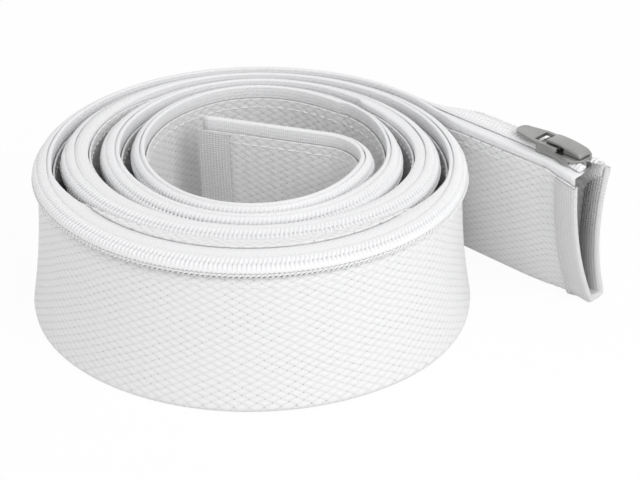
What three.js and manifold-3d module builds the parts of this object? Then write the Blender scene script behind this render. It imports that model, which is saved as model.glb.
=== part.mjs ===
// A zippered cable sleeve, rolled up flat and standing on its long edge, with a straight tail.
// Millimetres, +Z up. The tail runs along +X and the open mouth faces +X.

import * as THREE from 'three';
import { mergeVertices } from 'three/addons/utils/BufferGeometryUtils.js';
import Module from 'manifold-3d';

const wasm = await Module();
wasm.setup();
const { lerp, clamp, smoothstep, degToRad } = THREE.MathUtils;

// Cloth
const topHeight = 54.3; // the zipper tape's height on the straight tail
const fabricThickness = 0.7;
const tapeThickness = 0.35;
const bindingThickness = 0.6;
const seatGap = 0.3; // between layers of cloth that touch

// Zipper chain: two half coils on two tapes
const coilWidth = 2.9; // one half
const coilHeight = 1.45;
const coilMeetGap = 0.15; // from the middle of the chain to each half
const tapeEdge = 1.6; // from the middle of the chain to each tape's edge
const chainHalf = 3.5; // from the middle of the chain to where the tape folds
const tapeReach = 14; // how far each tape reaches from the middle of the chain
const innerFabricEdge = 8; // the least distance from the middle of the chain to the fabric's inner edge
const outerLipDrop = 1.6; // how far the fabric's edge lies below the lip

// The roll: each turn is an ellipse round its own centre, in axes that are turned from the tail
const rollAxesAngle = degToRad(45);
const turns = [
  { across: 73.7, along: 73.7, shiftAcross: 0.4, shiftAlong: 0.2 },
  { across: 65.0, along: 61.8, shiftAcross: 0.7, shiftAlong: 7.2 },
  { across: 51.6, along: 54.2, shiftAcross: 1.0, shiftAlong: 9.6 },
  { across: 41.2, along: 47.6, shiftAcross: 0.6, shiftAlong: 10.6 },
];
const turnChangeCentre = 0.94; // where a turn goes over into the next one, in turns
const turnChangeHalf = 0.2;
const startSwell = 1.8; // how much further out the roll starts, where the tail leaves it
const startSwellTurns = 0.14;
const stepsPerTurn = 30;
const wideRoom = 14; // the widest that a turn may open inwards
const tightestFold = 0.75; // between the two walls of a turn that is pressed flat
const innerTurnRoom = 7; // room that the innermost turn takes
const innerTurnFold = 1.0;
const turnClearance = 0.4; // between one turn and the next, front and back
const sideClearance = 1.8; // what the turns stand further apart at the two sides

// The inner end folds back inside the roll
const hookStart = 3.82; // in turns
const hookRadius = 19.6;
const hookAngle = degToRad(90);
const hookSteps = 6;
const chordLength = 47;
const chordSteps = 3;

// Walls
const lipOverhang = 2.8; // how far the chain's lip stands out over the wall below it
const baseFlare = 4.25; // how far the wall's foot stands outside the chain's middle
const footWidth = 1.4; // between the two walls at the bottom fold
const gentlestTilt = 0.83; // cosine of the chain's tilt where a turn has room
const steepestTilt = 0.05;

// Tail and mouth
const tailLength = 90.2;
const tailCorner = 6.4; // from the chain's middle to each shoulder
const tailFoot = 3.65;
const mouthNear = 2.8; // what the mouth opens further, on the roll's side
const mouthFar = 0.9;
const mouthFootFar = 4.3;
const mouthFootNear = 0.95;
const mouthSag = 7.5; // how far the far wall is drawn in at half height
const mouthSpread = 19; // length over which the tail spreads into the mouth
const chainSpread = 3.4; // half the gap between the coils at the mouth
const mouthBandWidth = 9.2;
const endBandWidth = 11;
const bandRoll = 1.1; // how far the binding stands past the fabric's end
const bandInside = 7; // how far the binding reaches inside

// Slider
const sliderCentre = 77.2; // along the tail
const sliderLength = 20;
const plateThickness = 1;
const sliderRear = 4.2; // half widths
const sliderFront = 5.6;
const sliderSlot = 0.7; // half the height of the slots for the tapes
const channelFloor = -1;
const channelRoof = 2.2;
const postHalf = 1.3;
const capHalf = 3;
const capWall = 0.9;
const springThickness = 0.3;
const springHalf = 1.1;
const metalGap = 0.1; // between metal pieces that are fixed to each other

// Pull
const axlePlace = { x: -0.6, z: 4.1 };
const axleRadius = 0.55;
const pullLength = 20;
const pullHalf = 4.7;
const pullArmInner = 3.4;
const pullThickness = 1.3;
const pullWindow = 10.2;
const pullEnd = 0.6; // how far the arms reach past the axle

const fabricInner = tapeThickness / 2 + seatGap;
const fabricOuter = fabricInner + fabricThickness;
const coilBase = tapeThickness / 2 + seatGap;
const coilTop = coilBase + coilHeight;
const layerOut = fabricOuter + turnClearance;
const bindingLift = seatGap + bindingThickness; // the ends stand up by this, on their bindings

const clothMaterial = (color) => new THREE.MeshStandardMaterial({ color, roughness: 0.85, metalness: 0 });
const nylonMaterial = () => new THREE.MeshStandardMaterial({ color: 0xf1f1f1, roughness: 0.45, metalness: 0 });
const metalMaterial = (color) => new THREE.MeshStandardMaterial({ color, roughness: 0.35, metalness: 0.9 });

// The track of the chain's middle, seen from above

function turnSize(name, turn) {
  let value = turns[0][name];
  for (let k = 1; k < turns.length; k++) {
    const change = k - 1 + turnChangeCentre;
    const share = smoothstep(turn, change - turnChangeHalf, change + turnChangeHalf);
    value += (turns[k][name] - turns[k - 1][name]) * share;
  }
  return value;
}

function rollPoint(turn) {
  const angle = rollAxesAngle + turn * 2 * Math.PI;
  const swell = startSwell * (1 - smoothstep(turn, 0, startSwellTurns));
  const across = turnSize('shiftAcross', turn) + (turnSize('across', turn) + swell) * Math.cos(angle);
  const along = turnSize('shiftAlong', turn) + (turnSize('along', turn) + swell) * Math.sin(angle);
  return new THREE.Vector2(across, along).rotateAround(new THREE.Vector2(), rollAxesAngle);
}

function outwardOf(direction) {
  return new THREE.Vector2(direction.y, -direction.x).normalize();
}

function rollOutward(turn) {
  const step = 0.001;
  return outwardOf(rollPoint(turn + step).sub(rollPoint(turn - step)));
}

// The distance from one turn to the next one inside it
function roomInside(turn) {
  if (turn >= turns.length - 1) return innerTurnRoom;
  const here = rollPoint(turn);
  let nearest = Infinity;
  for (let offset = 0.9; offset <= 1.1; offset += 0.0025) {
    nearest = Math.min(nearest, here.distanceTo(rollPoint(turn + offset)));
  }
  return nearest;
}

// Cosine of the chain's tilt: the chain stands up where the turns press together
function tiltCosine(turn) {
  const outside = turn >= 1 ? roomInside(turn - 1) : Infinity;
  const room = Math.min(roomInside(turn), outside);
  const fixed = tightestFold + layerOut + coilTop;
  return clamp((room - fixed) / (2 * chainHalf), steepestTilt, gentlestTilt);
}

function outerReach(cosine) {
  return chainHalf * cosine + coilTop * Math.sqrt(1 - cosine * cosine);
}

function innerReach(turn, cosine) {
  const least = chainHalf * cosine + tightestFold;
  if (turn >= turns.length - 1) return chainHalf * cosine + innerTurnFold;
  const side = Math.cos(rollAxesAngle + turn * 2 * Math.PI);
  const apart = layerOut + sideClearance * side ** 6;
  const free = roomInside(turn) - outerReach(tiltCosine(turn + 1)) - apart;
  return clamp(free, least, Math.max(least, wideRoom));
}

// A station is a place on the track with the sizes of the sleeve's section there

function rollStation(turn) {
  const cosine = tiltCosine(turn);
  const inner = innerReach(turn, cosine);
  const lip = chainHalf * cosine;
  return {
    place: rollPoint(turn),
    outward: turn === 0 ? new THREE.Vector2(0, 1) : rollOutward(turn),
    cosine,
    chainReach: chainHalf,
    inner,
    neck: Math.max(lip - lipOverhang, tightestFold - inner),
    footOuter: baseFlare,
    footInner: baseFlare - footWidth,
    sag: 0,
    open: 0,
    lift: 0,
  };
}

function tailStation(x) {
  const start = rollStation(0);
  const straight = smoothstep(x, 4, 34);
  const widen = smoothstep(x, 5, 40);
  const spread = smoothstep(x, tailLength - mouthSpread, tailLength);
  const bandStart = tailLength - mouthBandWidth;
  const firstOpen = smoothstep(x, bandStart - 5, bandStart) * (postHalf + seatGap - coilMeetGap);
  const lastOpen = clamp((x - bandStart) / mouthBandWidth, 0, 1);
  const cosine = Math.cos(Math.acos(start.cosine) * (1 - straight));
  const outer = lerp(chainHalf, tailCorner, widen) + mouthFar * spread;
  const inner = Math.max(lerp(start.inner, tailCorner, widen), chainHalf * cosine + tightestFold);
  return {
    place: new THREE.Vector2(start.place.x + x, start.place.y),
    outward: new THREE.Vector2(0, 1),
    cosine,
    chainReach: outer,
    inner: inner + mouthNear * spread,
    neck: lerp(start.neck, outer * cosine, widen),
    footOuter: lerp(baseFlare, tailFoot, widen) + mouthFootFar * spread,
    footInner: lerp(baseFlare, tailFoot, widen) - footWidth + mouthFootNear * spread,
    sag: mouthSag * spread,
    open: firstOpen + lastOpen * (chainSpread - postHalf - seatGap + coilMeetGap),
    lift: bindingLift * smoothstep(x, tailLength - 30, tailLength - mouthBandWidth),
  };
}

function hookFrame() {
  const out = rollOutward(hookStart);
  const heading = new THREE.Vector2(-out.y, out.x);
  return { start: rollPoint(hookStart), out, heading };
}

function hookStation(angle, along) {
  const { start, out, heading } = hookFrame();
  const outward = out.clone().rotateAround(new THREE.Vector2(), angle);
  const ahead = heading.clone().rotateAround(new THREE.Vector2(), angle);
  const centre = start.clone().addScaledVector(out, -hookRadius);
  const place = centre.addScaledVector(outward, hookRadius).addScaledVector(ahead, along);
  const lift = bindingLift * smoothstep(along, chordLength - 30, chordLength - endBandWidth);
  return { ...rollStation(hookStart), place, outward, lift };
}

function endStation(fromEnd) {
  return hookStation(hookAngle, chordLength - fromEnd);
}

// The section of the sleeve in a station's plane, as the line of the tapes.
// x is outwards from the chain's middle and y is up. The line runs from the outer coil over the lip,
// down the outer wall, round the bottom fold and up the inner wall to the inner coil.

function sectionLine(station) {
  const sine = Math.sqrt(1 - station.cosine ** 2);
  const middleHeight = topHeight - chainHalf * sine;
  const along = (reach) => new THREE.Vector2(reach * station.cosine, middleHeight - reach * sine);
  const footHeight = fabricOuter + station.lift;
  const footRound = 0.7;
  const shoulderRound = 0.6;
  const lip = along(station.chainReach);
  const neck = new THREE.Vector2(station.neck, lip.y - outerLipDrop);
  const chainEdge = along(-chainHalf);
  const innerTip = along(-station.open);
  const shoulderDrop = 0.06 * Math.max(0, station.inner - chainHalf);
  const shoulder = new THREE.Vector2(-station.inner, chainEdge.y - shoulderDrop);
  const halfHeight = topHeight / 2;
  const path = new THREE.Path();
  const marks = {};
  const mark = (name) => {
    marks[name] = path.getLength();
    path.cacheLengths = null;
  };
  const roundTo = (corner, from, to, radius) => {
    const before = corner.clone().sub(from).setLength(Math.min(radius, corner.distanceTo(from) / 2));
    const after = to.clone().sub(corner).setLength(Math.min(radius, corner.distanceTo(to) / 2));
    path.lineTo(corner.x - before.x, corner.y - before.y);
    path.quadraticCurveTo(corner.x, corner.y, corner.x + after.x, corner.y + after.y);
  };
  const start = along(station.open);
  const footOuter = new THREE.Vector2(station.footOuter, footHeight);
  const footInner = new THREE.Vector2(station.footInner, footHeight);
  const outerControl = new THREE.Vector2(neck.x - station.sag, halfHeight);
  const innerControl = new THREE.Vector2(shoulder.x, halfHeight);
  const outerFootTop = new THREE.Vector2(footOuter.x, footHeight + footRound);
  const innerFootTop = new THREE.Vector2(footInner.x, footHeight + footRound);
  path.moveTo(start.x, start.y);
  roundTo(lip, start, neck, 0.4);
  mark('lip');
  path.lineTo(neck.x, neck.y);
  mark('neck');
  path.quadraticCurveTo(outerControl.x, outerControl.y, outerFootTop.x, outerFootTop.y);
  roundTo(footOuter, outerFootTop, footInner, footRound);
  mark('bottomOuter');
  roundTo(footInner, footOuter, innerFootTop, footRound);
  path.quadraticCurveTo(innerControl.x, innerControl.y, shoulder.x, shoulder.y - shoulderRound);
  path.quadraticCurveTo(shoulder.x, shoulder.y, shoulder.x + 0.3, shoulder.y);
  mark('shoulder');
  path.lineTo(chainEdge.x, chainEdge.y);
  mark('chainEdge');
  path.lineTo(innerTip.x, innerTip.y);
  mark('end');
  return { path, marks };
}

function pointsAtArcs(section, arcs) {
  return arcs.map((arc) => section.path.getPointAt(clamp(arc / section.marks.end, 0, 1)));
}

// Moves a line sideways, to its left, by one distance
function offsetLine(points, distance) {
  const leftOf = (a, b) => new THREE.Vector2(a.y - b.y, b.x - a.x).normalize();
  return points.map((point, i) => {
    const before = leftOf(points[Math.max(i - 1, 0)], points[Math.max(i, 1)]);
    const after = leftOf(points[Math.min(i, points.length - 2)], points[Math.min(i + 1, points.length - 1)]);
    const middle = before.clone().add(after).normalize();
    const stretch = 1 / Math.max(middle.dot(before), 0.55);
    return point.clone().addScaledVector(middle, distance * stretch);
  });
}

function stripProfile(points, near, far) {
  return [...offsetLine(points, far), ...offsetLine(points, near).reverse()];
}

// Where the fabric is bent, as distances along the section line
function fabricArcs({ marks }) {
  const bottom = marks.bottomOuter + footWidth / 2 - 0.7;
  const outerEdge = marks.neck + 0.2;
  const innerEdge = Math.min(marks.end - innerFabricEdge, marks.shoulder - 0.4);
  const tapeEnd = marks.end - Math.max(tapeReach, marks.end - marks.shoulder + 1.5) - 0.6;
  const outerWall = bottom - 3 - outerEdge;
  return [
    outerEdge,
    outerEdge + outerWall * 0.4,
    outerEdge + outerWall * 0.75,
    bottom - 3,
    bottom - 0.6,
    bottom + 0.6,
    bottom + 3,
    lerp(bottom + 3, tapeEnd, 0.55),
    tapeEnd,
    innerEdge - 0.8,
    innerEdge,
  ];
}

function outerTapeArcs({ marks }) {
  return [tapeEdge, marks.lip, marks.neck, tapeReach];
}

function innerTapeArcs({ marks }) {
  const reach = Math.max(tapeReach, marks.end - marks.shoulder + 1.5);
  return [marks.end - reach, marks.shoulder, marks.chainEdge, marks.end - tapeEdge];
}

// A half coil's outline on its tape
function coilProfile(station, side) {
  const sine = Math.sqrt(1 - station.cosine ** 2);
  const middleHeight = topHeight - chainHalf * sine;
  const outline = [
    [coilMeetGap, coilBase],
    [coilMeetGap, coilTop - 0.3],
    [coilMeetGap + coilWidth * 0.55, coilTop],
    [coilMeetGap + coilWidth, coilTop - 0.7],
    [coilMeetGap + coilWidth, coilBase],
  ];
  return outline.map(([reach, lift]) => {
    const along = side * (reach + station.open);
    const x = along * station.cosine + lift * sine;
    const y = middleHeight - along * sine + lift * station.cosine;
    return new THREE.Vector2(x, y);
  });
}

// Closed surfaces through rings of points

function signedVolume(positions, index) {
  const [a, b, c] = [new THREE.Vector3(), new THREE.Vector3(), new THREE.Vector3()];
  let sum = 0;
  for (let i = 0; i < index.length; i += 3) {
    a.fromArray(positions, index[i] * 3);
    b.fromArray(positions, index[i + 1] * 3);
    c.fromArray(positions, index[i + 2] * 3);
    sum += a.dot(b.cross(c));
  }
  return sum / 6;
}

// Triangles of an end face, as places in its outline

function stripFaces(count) {
  const faces = [];
  for (let j = 0; j < count / 2 - 1; j++) {
    const back = count - 1 - j;
    faces.push([j, j + 1, back - 1], [j, back - 1, back]);
  }
  return faces;
}

function outlineFaces(outline) {
  const way = Math.sign(THREE.ShapeUtils.area(outline));
  return THREE.ShapeUtils.triangulateShape(outline, []).map(([a, b, c]) => {
    const turned = Math.sign(THREE.ShapeUtils.area([outline[a], outline[b], outline[c]])) !== way;
    return turned ? [a, c, b] : [a, b, c];
  });
}

// Each ring is an array of Vector3, and both ends are closed by the same faces
function loft(rings, faces) {
  const count = rings[0].length;
  const positions = rings.flat().flatMap((p) => p.toArray());
  const index = [];
  for (let i = 0; i + 1 < rings.length; i++) {
    for (let j = 0; j < count; j++) {
      const a = i * count + j;
      const b = i * count + ((j + 1) % count);
      index.push(a, b, b + count, a, b + count, a + count);
    }
  }
  const last = (rings.length - 1) * count;
  for (const [a, b, c] of faces) index.push(a, c, b, last + a, last + b, last + c);
  if (signedVolume(positions, index) < 0) index.reverse();
  const geometry = new THREE.BufferGeometry();
  geometry.setAttribute('position', new THREE.Float32BufferAttribute(positions, 3));
  geometry.setIndex(index);
  return geometry;
}

function inSpace(station, point) {
  const flat = station.place.clone().addScaledVector(station.outward, point.x);
  return new THREE.Vector3(flat.x, flat.y, point.y);
}

function sweep(stations, profileOf, facesOf) {
  const profiles = stations.map((station) => profileOf(station));
  const rings = profiles.map((profile, i) => profile.map((point) => inSpace(stations[i], point)));
  return loft(rings, facesOf(profiles[0]));
}

function stationsOf(mouthEnd, innerEnd) {
  const tailPlaces = [77.5, 74, 71, 62, 52, 42, 36, 32, 28, 24, 20, 16, 12, 8, 4];
  const stations = [mouthEnd, tailLength - mouthBandWidth, ...tailPlaces].map(tailStation);
  const lastTurnStep = Math.floor(hookStart * stepsPerTurn);
  for (let k = 0; k <= lastTurnStep; k++) stations.push(rollStation(k / stepsPerTurn));
  for (let k = 0; k <= hookSteps; k++) stations.push(hookStation((hookAngle * k) / hookSteps, 0));
  const chordStep = (chordLength - endBandWidth) / chordSteps;
  for (let k = 1; k <= chordSteps; k++) stations.push(hookStation(hookAngle, chordStep * k));
  stations.push(endStation(innerEnd));
  return stations;
}

// A binding folded over the fabric's end. Its fold is drawn in distances from the end and from the
// section line, and is carried round the sleeve's wall from one edge of the fabric to the other.
function bindingGeometry(stationAt, bandWidth) {
  const outerSkin = fabricOuter + seatGap;
  const innerSkin = fabricInner - seatGap;
  const arcCount = fabricArcs(sectionLine(stationAt(0))).length;
  const foldFor = (inside) => [
    [bandWidth, outerSkin],
    [bandWidth, outerSkin + bindingThickness],
    [-bandRoll * 0.5, outerSkin + bindingThickness],
    [-bandRoll, outerSkin],
    [-bandRoll, innerSkin],
    [-bandRoll * 0.5, innerSkin - bindingThickness],
    [inside, innerSkin - bindingThickness],
    [inside, innerSkin],
    [-seatGap, innerSkin],
    [-seatGap, outerSkin],
  ];
  const rings = [];
  const skinPoint = (fromEnd, distance, j) => {
    const station = stationAt(fromEnd);
    const section = sectionLine(station);
    return inSpace(station, offsetLine(pointsAtArcs(section, fabricArcs(section)), distance)[j]);
  };
  for (let j = 0; j < arcCount; j++) {
    const overTape = j < 2 || j >= arcCount - 3;
    const fold = foldFor(overTape ? 0 : bandInside);
    rings.push(
      fold.map(([fromEnd, distance]) => {
        const atEnd = skinPoint(0, distance, j);
        return atEnd.lerp(skinPoint(bandWidth, distance, j), fromEnd / bandWidth);
      }),
    );
  }
  const outline = foldFor(0).map(([x, y]) => new THREE.Vector2(x, y));
  return loft(rings, outlineFaces(outline));
}

// Solids of metal, cut and joined

function solidOf(geometry) {
  const bare = geometry.clone();
  bare.deleteAttribute('normal');
  bare.deleteAttribute('uv');
  const merged = mergeVertices(bare, 1e-4);
  const vertProperties = new Float32Array(merged.attributes.position.array);
  const triVerts = new Uint32Array(merged.index.array);
  return new wasm.Manifold(new wasm.Mesh({ numProp: 3, vertProperties, triVerts }));
}

function geometryOf(solid) {
  const { vertProperties, triVerts } = solid.getMesh();
  const geometry = new THREE.BufferGeometry();
  geometry.setAttribute('position', new THREE.Float32BufferAttribute(vertProperties, 3));
  geometry.setIndex([...triVerts]);
  return geometry;
}

// A flat outline given thickness upwards from a height
function plateOf(shape, low, high) {
  const geometry = new THREE.ExtrudeGeometry(shape, { depth: high - low, bevelEnabled: false, curveSegments: 5 });
  return solidOf(geometry.translate(0, 0, low));
}

// A side view, in x and z, given a width across the slider
function sideOf(shape, half) {
  const geometry = new THREE.ExtrudeGeometry(shape, { depth: 2 * half, bevelEnabled: false, curveSegments: 6 });
  return solidOf(geometry.rotateX(Math.PI / 2).translate(0, half, 0));
}

function boxOf(lowX, highX, half, lowZ, highZ) {
  const box = new THREE.BoxGeometry(highX - lowX, 2 * half, highZ - lowZ);
  return solidOf(box.translate((lowX + highX) / 2, 0, (lowZ + highZ) / 2));
}

function shapeOf(points) {
  return new THREE.Shape(points.map(([x, y]) => new THREE.Vector2(x, y)));
}

function sliderPlan() {
  const rear = -sliderLength / 2;
  const front = sliderLength / 2;
  const shoulder = front - 5;
  const plan = new THREE.Shape();
  plan.moveTo(rear, -sliderRear + 1.2);
  plan.quadraticCurveTo(rear, -sliderRear, rear + 1.4, -sliderRear);
  plan.lineTo(-2, -sliderRear);
  plan.bezierCurveTo(0.5, -sliderRear, 1.5, -sliderFront, shoulder, -sliderFront);
  plan.bezierCurveTo(front - 2, -sliderFront, front, -sliderFront + 1.8, front, -postHalf);
  plan.lineTo(front, postHalf);
  plan.bezierCurveTo(front, sliderFront - 1.8, front - 2, sliderFront, shoulder, sliderFront);
  plan.bezierCurveTo(1.5, sliderFront, 0.5, sliderRear, -2, sliderRear);
  plan.lineTo(rear + 1.4, sliderRear);
  plan.quadraticCurveTo(rear, sliderRear, rear, sliderRear - 1.2);
  return plan;
}

// Two plates with side rims, joined at the front by the post that parts the chain
function sliderBody() {
  const closedHalf = coilMeetGap + coilWidth + seatGap;
  const openHalf = closedHalf + postHalf + seatGap - coilMeetGap;
  const front = sliderLength / 2;
  const low = channelFloor - plateThickness;
  const high = channelRoof + plateThickness - metalGap;
  const channel = shapeOf([
    [-front - 1, -closedHalf],
    [-3, -closedHalf],
    [3.5, -openHalf],
    [front + 1, -openHalf - 2],
    [front + 1, openHalf + 2],
    [3.5, openHalf],
    [-3, closedHalf],
    [-front - 1, closedHalf],
  ]);
  const post = shapeOf([
    [4.2, 0],
    [6.6, -postHalf],
    [front - 1.6, -postHalf],
    [front - 0.5, -postHalf / 2],
    [front - 0.5, postHalf / 2],
    [front - 1.6, postHalf],
    [6.6, postHalf],
  ]);
  const springHole = boxOf(-4.85, -3.55, springHalf + 0.3, channelRoof - 1, high + 1);
  const plates = plateOf(sliderPlan(), low, high)
    .subtract(plateOf(channel, channelFloor, channelRoof))
    .subtract(boxOf(-front - 1, front + 1, sliderFront + 1, -sliderSlot, sliderSlot));
  return geometryOf(plates.add(plateOf(post, channelFloor - 0.2, channelRoof + 0.2)).subtract(springHole));
}

const plateTop = channelRoof + plateThickness - metalGap;

// An arched cover with a window on each side for the pull's axle
function sliderCap() {
  const seat = plateTop + metalGap;
  const outer = new THREE.Shape();
  outer.moveTo(-5.8, seat);
  outer.lineTo(-5.8, 5.2);
  outer.quadraticCurveTo(-5.8, 6.2, -4.4, 6.25);
  outer.bezierCurveTo(-1, 6.5, 4, 6.1, 7, 5.5);
  outer.quadraticCurveTo(9, 5.1, 9.2, 4.2);
  outer.lineTo(9.2, seat);
  const inner = new THREE.Shape();
  inner.moveTo(-4.9, seat - 1);
  inner.lineTo(-4.9, 5.1);
  inner.quadraticCurveTo(-4.9, 5.5, -4.2, 5.5);
  inner.bezierCurveTo(-1, 5.7, 4, 5.4, 6.6, 4.8);
  inner.quadraticCurveTo(8.2, 4.5, 8.2, 3.8);
  inner.lineTo(8.2, seat - 1);
  const window = boxOf(-2.9, 1.8, capHalf + 1, seat - 1, 4.95);
  const shell = sideOf(outer, capHalf).subtract(sideOf(inner, capHalf - capWall));
  return geometryOf(shell.subtract(window));
}

// A flat spring under the cover, with a tooth that reaches down to the chain
function lockSpring() {
  const line = [
    [7.6, plateTop + metalGap],
    [7.4, 4.1],
    [5.6, 4.75],
    [-3.4, 5.15],
    [-4.2, 4.9],
    [-4.2, channelRoof + 0.1],
  ].map(([x, z]) => new THREE.Vector2(x, z));
  const profile = stripProfile(line, -springThickness / 2, springThickness / 2);
  return geometryOf(sideOf(new THREE.Shape(profile), springHalf));
}

// A flat pull whose loop goes through the cover
function pullTab() {
  const low = -pullThickness / 2;
  const high = pullThickness / 2;
  const tipHalf = 3.2;
  const outline = new THREE.Shape();
  outline.moveTo(pullEnd, pullHalf);
  outline.lineTo(-pullWindow, pullHalf);
  outline.lineTo(-pullLength + 3, tipHalf);
  outline.quadraticCurveTo(-pullLength, tipHalf, -pullLength, 0);
  outline.quadraticCurveTo(-pullLength, -tipHalf, -pullLength + 3, -tipHalf);
  outline.lineTo(-pullWindow, -pullHalf);
  outline.lineTo(pullEnd, -pullHalf);
  const arms = plateOf(outline, low, high).subtract(boxOf(-pullWindow, 2, pullArmInner, low - 1, high + 1));
  const axle = new THREE.CylinderGeometry(axleRadius, axleRadius, 2 * pullArmInner + 0.6, 12);
  return geometryOf(arms.add(solidOf(axle)));
}

// The pieces

const group = new THREE.Group();

function addPiece(name, geometry, material, parent = group) {
  const mesh = new THREE.Mesh(geometry, material);
  mesh.name = name;
  parent.add(mesh);
  return mesh;
}

const clothStations = stationsOf(tailLength, 0);
const tapeStations = stationsOf(tailLength - 0.6, 0.6);
const coilStations = stationsOf(tailLength - 1.4, 1.2);

function clothPiece(name, stations, arcsOf, near, far, color) {
  const profileOf = (station) => {
    const section = sectionLine(station);
    return stripProfile(pointsAtArcs(section, arcsOf(section)), near, far);
  };
  const geometry = sweep(stations, profileOf, (profile) => stripFaces(profile.length));
  return addPiece(name, geometry, clothMaterial(color));
}

clothPiece('sleeve_fabric', clothStations, fabricArcs, fabricInner, fabricOuter, 0xececee);
const tapeHalf = tapeThickness / 2;
clothPiece('zipper_tape_outer', tapeStations, outerTapeArcs, -tapeHalf, tapeHalf, 0xf4f4f4);
clothPiece('zipper_tape_inner', tapeStations, innerTapeArcs, -tapeHalf, tapeHalf, 0xf4f4f4);

function coilPiece(name, side) {
  const geometry = sweep(coilStations, (station) => coilProfile(station, side), outlineFaces);
  return addPiece(name, geometry, nylonMaterial());
}

coilPiece('zipper_coil_outer', 1);
coilPiece('zipper_coil_inner', -1);

const mouthStation = (fromEnd) => tailStation(tailLength - fromEnd);
addPiece('mouth_binding', bindingGeometry(mouthStation, mouthBandWidth), clothMaterial(0xf2f2f2));
addPiece('inner_end_binding', bindingGeometry(endStation, endBandWidth), clothMaterial(0xf2f2f2));

const slider = new THREE.Group();
const chainPlace = tailStation(sliderCentre).place;
slider.position.set(chainPlace.x, chainPlace.y, topHeight);
group.add(slider);
addPiece('slider_body', sliderBody(), metalMaterial(0x8d8d8b), slider);
addPiece('slider_cap', sliderCap(), metalMaterial(0x8d8d8b), slider);
addPiece('lock_spring', lockSpring(), metalMaterial(0x9a9a98), slider);
const pull = addPiece('pull_tab', pullTab(), metalMaterial(0x979795), slider);
pull.position.set(axlePlace.x, 0, axlePlace.z);

// The origin is the middle of the bottom of the whole part
group.updateMatrixWorld(true);
const box = new THREE.Box3().setFromObject(group, true);
group.position.set(-(box.min.x + box.max.x) / 2, -(box.min.y + box.max.y) / 2, -box.min.z);
group.updateMatrixWorld(true);

export default group;
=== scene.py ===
"""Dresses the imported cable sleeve: braid, woven tapes, coil teeth, bindings, stitches and metal slider."""

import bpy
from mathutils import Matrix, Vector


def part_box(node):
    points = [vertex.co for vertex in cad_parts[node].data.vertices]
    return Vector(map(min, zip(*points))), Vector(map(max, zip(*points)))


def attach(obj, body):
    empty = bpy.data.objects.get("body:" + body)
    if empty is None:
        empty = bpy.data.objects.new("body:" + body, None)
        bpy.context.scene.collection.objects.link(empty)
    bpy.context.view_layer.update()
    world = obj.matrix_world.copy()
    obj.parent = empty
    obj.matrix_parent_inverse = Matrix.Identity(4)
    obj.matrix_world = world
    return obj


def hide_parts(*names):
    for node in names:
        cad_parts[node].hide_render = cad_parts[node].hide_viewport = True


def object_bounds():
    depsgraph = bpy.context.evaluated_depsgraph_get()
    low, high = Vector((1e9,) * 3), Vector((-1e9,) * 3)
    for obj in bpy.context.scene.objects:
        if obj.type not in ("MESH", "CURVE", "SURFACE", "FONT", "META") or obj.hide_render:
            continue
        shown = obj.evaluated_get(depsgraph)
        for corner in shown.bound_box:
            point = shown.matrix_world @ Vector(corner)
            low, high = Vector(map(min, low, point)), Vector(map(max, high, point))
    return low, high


bl_info = {
    "name": "Zippered cable sleeve",
    "version": (1, 0, 0),
    "blender": (4, 5, 0),
    "location": "3D View > Sidebar > Sleeve",
    "description": "Builds a rolled cable sleeve of braid with a coil zipper, round its packed frame",
    "category": "Object",
}

import functools
import math
from types import SimpleNamespace

import bmesh
import bpy
import numpy as np
from bpy.props import FloatProperty, FloatVectorProperty, PointerProperty
from bpy.types import Operator, Panel, PropertyGroup
from mathutils import Vector

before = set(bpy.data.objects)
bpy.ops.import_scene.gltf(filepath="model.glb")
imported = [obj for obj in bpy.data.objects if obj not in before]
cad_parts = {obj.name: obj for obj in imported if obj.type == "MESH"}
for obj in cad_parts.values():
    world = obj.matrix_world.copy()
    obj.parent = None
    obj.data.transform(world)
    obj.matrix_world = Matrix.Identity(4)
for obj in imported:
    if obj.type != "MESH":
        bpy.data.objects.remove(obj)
CAD_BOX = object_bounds()
MM = 0.001

# The sleeve's own sizes, in millimetres, as the solids have them
TOP = 54.3
FABRIC_THICK = 0.7
TAPE_THICK = 0.35
BINDING_THICK = 0.6
SEAT_GAP = 0.3
CHAIN_HALF = 3.5
COIL_BASE = TAPE_THICK / 2 + SEAT_GAP
COIL_TOP = COIL_BASE + 1.45
TAPE_EDGE = 1.6
TAPE_REACH = 14.0
LIP_DROP = 1.6
FABRIC_IN = TAPE_THICK / 2 + SEAT_GAP
FABRIC_OUT = FABRIC_IN + FABRIC_THICK
ROLL_TURN = math.radians(45)
TURNS = {
    "across": (73.7, 65.0, 51.6, 41.2),
    "along": (73.7, 61.8, 54.2, 47.6),
    "shift_across": (0.4, 0.7, 1.0, 0.6),
    "shift_along": (0.2, 7.2, 9.6, 10.6),
}
TURN_COUNT = 4
TURN_CHANGE = 0.94
TURN_CHANGE_HALF = 0.2
START_SWELL = 1.8
START_SWELL_TURNS = 0.14
WIDE_ROOM = 14.0
TIGHT_FOLD = 0.75
INNER_ROOM = 7.0
INNER_FOLD = 1.0
LAYER_OUT = FABRIC_OUT + 0.4
SIDE_CLEARANCE = 1.8
HOOK_START = 3.82
HOOK_RADIUS = 19.6
HOOK_ANGLE = math.radians(90)
CHORD = 47.0
LIP_OVERHANG = 2.8
BASE_FLARE = 4.25
FOOT_WIDTH = 1.4
GENTLEST_TILT = 0.83
STEEPEST_TILT = 0.05
TAIL = 90.2
TAIL_CORNER = 6.4
TAIL_FOOT = 3.65
TAIL_STRAIGHTENS = (4, 34)
TAIL_WIDENS = (5, 40)
FOOT_ROUND = 0.7
SHOULDER_SLOPE = 0.06
LIFT_STRETCH = 30
MOUTH_NEAR = 2.8
MOUTH_FAR = 0.9
MOUTH_FOOT_FAR = 4.3
MOUTH_FOOT_NEAR = 0.95
MOUTH_SAG = 7.5
MOUTH_SPREAD = 19.0
CHAIN_SPREAD = 3.4
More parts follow.
